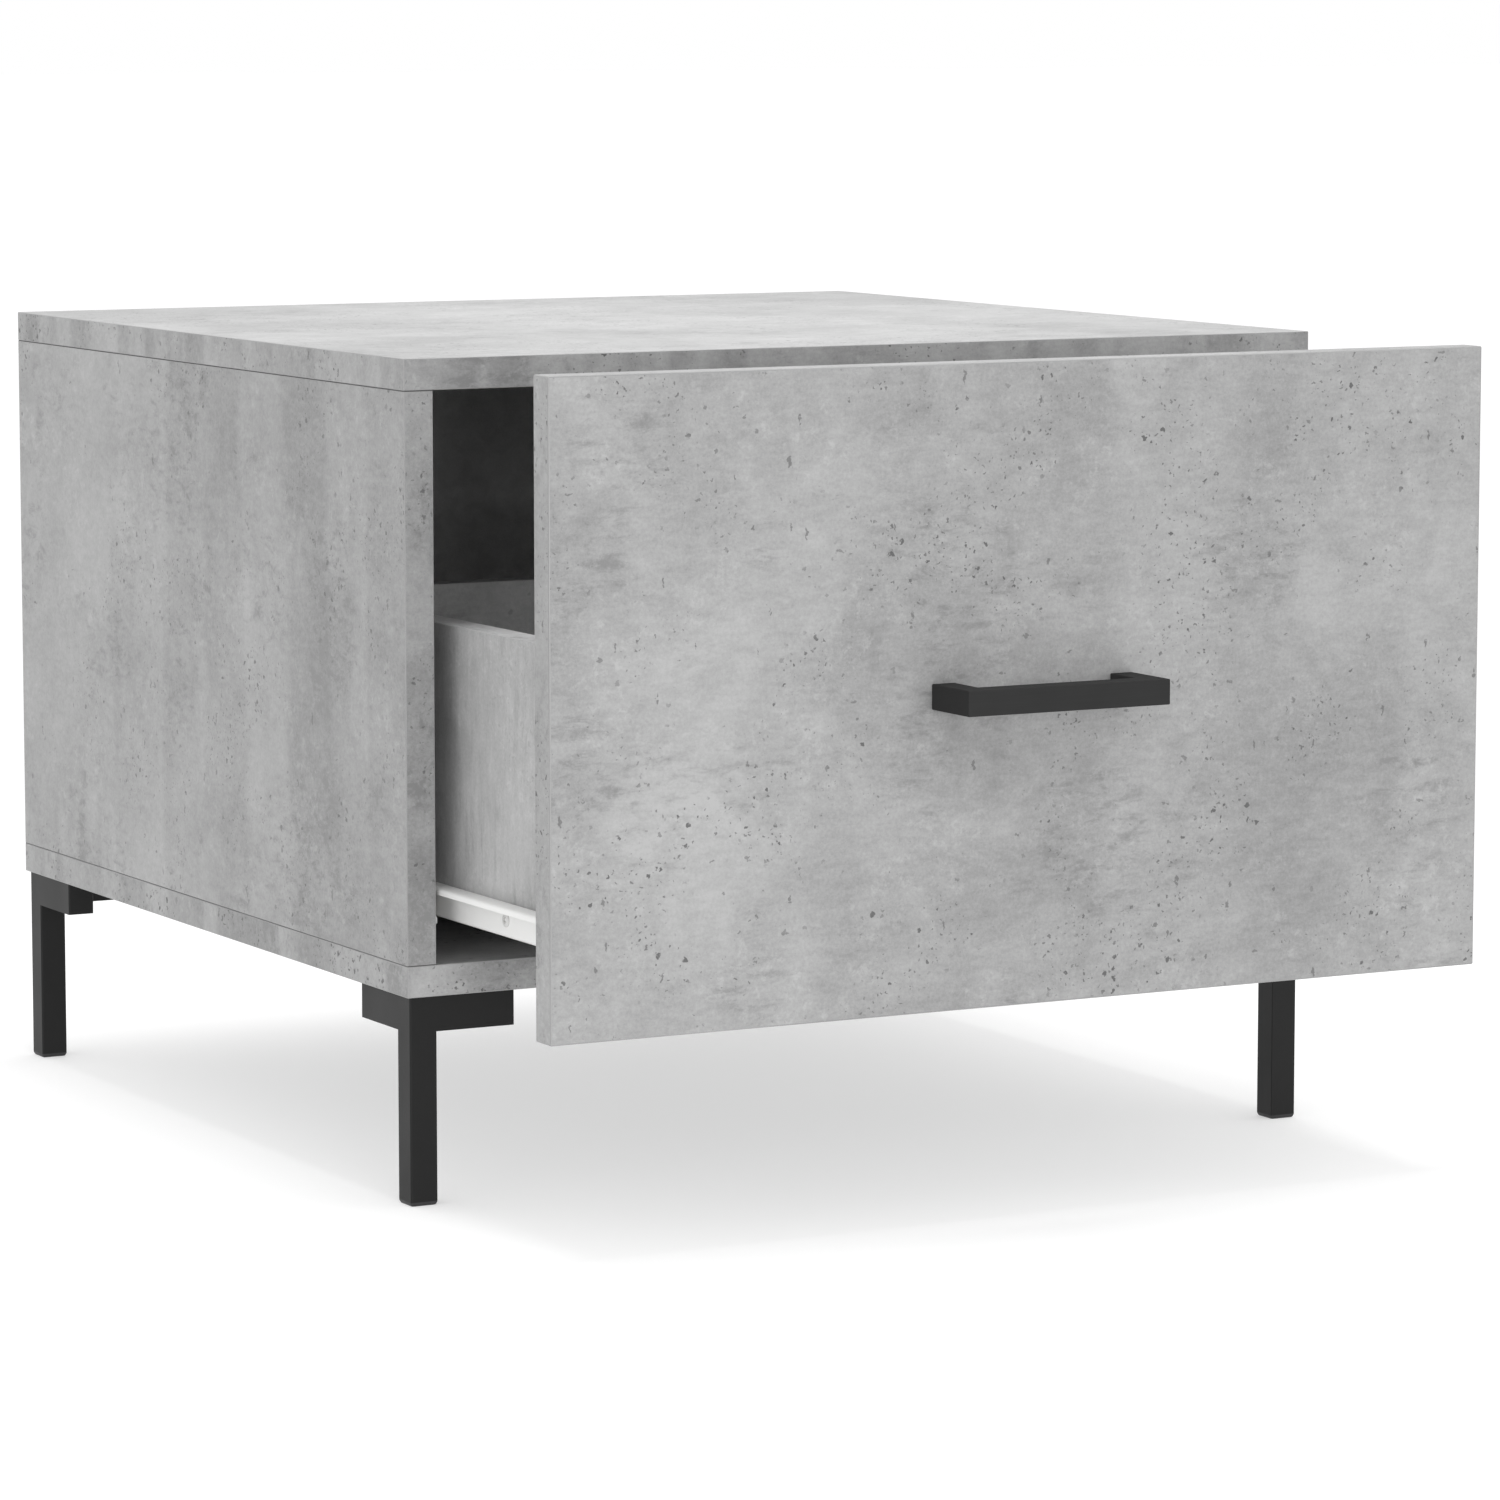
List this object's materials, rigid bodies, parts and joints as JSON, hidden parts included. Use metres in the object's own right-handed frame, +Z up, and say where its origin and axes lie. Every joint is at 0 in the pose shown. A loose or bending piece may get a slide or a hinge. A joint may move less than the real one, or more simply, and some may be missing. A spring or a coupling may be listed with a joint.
{
  "type": "side table with drawer",
  "caption": "Low square side table: a board carcass on short metal tube legs, with a full-front drawer on roller runners and a bar handle.",
  "frame": {"origin": "on the floor, under the centre of the carcass", "axes": "+X to the right of someone facing the drawer, -Y towards the front, +Z up"},
  "size_m": [0.5, 0.6685, 0.4],
  "materials": {
    "concrete_foil": "matt concrete-effect foil on engineered wood",
    "grey_hardboard": "thin fibreboard with a grey lacquered face",
    "black_powder_coat": "matt black powder coat on steel tube",
    "black_handle_coat": "satin black lacquer on die-cast metal",
    "white_epoxy": "white epoxy coat on folded steel",
    "white_nylon": "moulded nylon",
    "black_plastic": "moulded polyethylene",
    "zinc_steel": "bright zinc plate",
    "beech": "turned beech"
  },
  "bodies": {
    "carcass": {"top_panel": "concrete_foil", "bottom_panel": "concrete_foil", "left_side_panel": "concrete_foil", "right_side_panel": "concrete_foil", "back_panel": "grey_hardboard", "front_left_leg": "black_powder_coat", "front_right_leg": "black_powder_coat", "rear_left_leg": "black_powder_coat", "rear_right_leg": "black_powder_coat", "front_left_glide": "black_plastic", "front_right_glide": "black_plastic", "rear_left_glide": "black_plastic", "rear_right_glide": "black_plastic", "leg_screws": "zinc_steel", "left_cabinet_rail": "white_epoxy", "right_cabinet_rail": "white_epoxy", "cabinet_rail_screws": "zinc_steel", "front_roller_axles": "zinc_steel", "carcass_cam_locks": "zinc_steel", "carcass_cam_bolts": "zinc_steel", "carcass_dowels": "beech", "carcass_joint_screws": "zinc_steel"},
    "drawer": {"drawer_front": "concrete_foil", "drawer_left_side": "concrete_foil", "drawer_right_side": "concrete_foil", "drawer_back": "concrete_foil", "drawer_bottom": "grey_hardboard", "drawer_handle": "black_handle_coat", "handle_screws": "zinc_steel", "left_drawer_rail": "white_epoxy", "right_drawer_rail": "white_epoxy", "drawer_rail_screws": "zinc_steel", "rear_roller_axles": "zinc_steel", "drawer_cam_locks": "zinc_steel", "drawer_cam_bolts": "zinc_steel", "drawer_dowels": "beech", "drawer_back_screws": "zinc_steel"},
    "left_front_roller": {"left_front_roller": "white_nylon"},
    "right_front_roller": {"right_front_roller": "white_nylon"},
    "left_rear_roller": {"left_rear_roller": "white_nylon"},
    "right_rear_roller": {"right_rear_roller": "white_nylon"}
  },
  "joints": [
    {"name": "drawer_slide", "type": "slide", "parent": "carcass", "child": "drawer", "axis": [0, -1, 0], "range_m": [-0.1345, 0.1205]},
    {"name": "left_front_roller_turn", "type": "hinge", "parent": "carcass", "child": "left_front_roller", "pos_m": [-0.2285, -0.2134, 0.1423], "axis": [1, 0, 0], "continuous": true},
    {"name": "left_rear_roller_turn", "type": "hinge", "parent": "drawer", "child": "left_rear_roller", "pos_m": [-0.2285, -0.0355, 0.1423], "axis": [1, 0, 0], "continuous": true},
    {"name": "right_front_roller_turn", "type": "hinge", "parent": "carcass", "child": "right_front_roller", "pos_m": [0.2285, -0.2134, 0.1423], "axis": [1, 0, 0], "continuous": true},
    {"name": "right_rear_roller_turn", "type": "hinge", "parent": "drawer", "child": "right_rear_roller", "pos_m": [0.2285, -0.0355, 0.1423], "axis": [1, 0, 0], "continuous": true}
  ],
  "couplings": [
    {"joint": "left_front_roller_turn", "follows": "drawer_slide", "rad_per_m": 142.86},
    {"joint": "left_rear_roller_turn", "follows": "drawer_slide", "rad_per_m": 142.86},
    {"joint": "right_front_roller_turn", "follows": "drawer_slide", "rad_per_m": 142.86},
    {"joint": "right_rear_roller_turn", "follows": "drawer_slide", "rad_per_m": 142.86}
  ]
}
